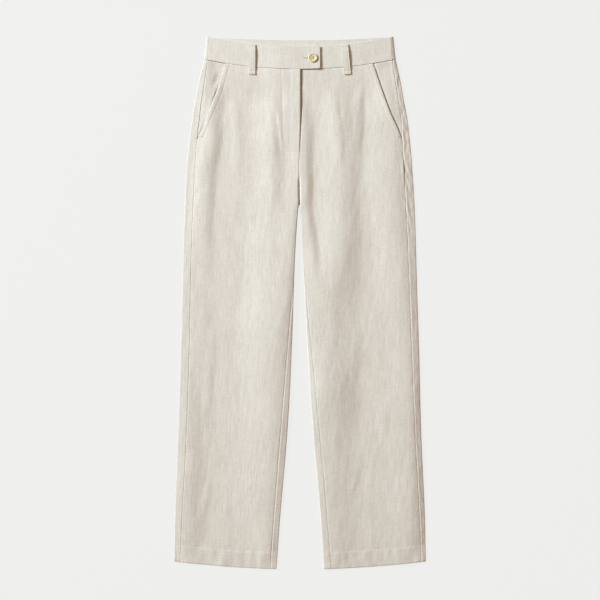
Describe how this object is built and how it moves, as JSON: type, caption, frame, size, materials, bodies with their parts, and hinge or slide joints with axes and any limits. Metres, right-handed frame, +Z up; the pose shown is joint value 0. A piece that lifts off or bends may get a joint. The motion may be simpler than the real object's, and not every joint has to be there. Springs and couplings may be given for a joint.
{
  "type": "tailored trousers",
  "caption": "Straight-leg tailored linen trousers laid flat, with waistband tab and button, fly, slanted pockets and belt loops.",
  "frame": {"origin": "on the surface the trousers lie on, at the middle of their outline", "axes": "+Y up the garment to the waist, +Z up from the surface, +X to the wearer's left"},
  "size_m": [0.504, 1.0655, 0.0134],
  "materials": {
    "linen": "plain-woven slubby linen in natural oatmeal, matt with a faint sheen",
    "button": "four-hole button in pale horn colour, softly polished"
  },
  "bodies": {
    "root": {"back_right": "linen", "back_left": "linen", "front_right": "linen", "front_left": "linen", "pocket_facing_right": "linen", "pocket_facing_left": "linen", "waistband_right": "linen", "waistband_left": "linen", "waistband_back": "linen", "fly_underlap": "linen", "belt_loop_front_right": "linen", "belt_loop_front_left": "linen", "belt_loop_back_right": "linen", "belt_loop_back_centre": "linen", "belt_loop_back_left": "linen", "button": "button"}
  },
  "joints": []
}
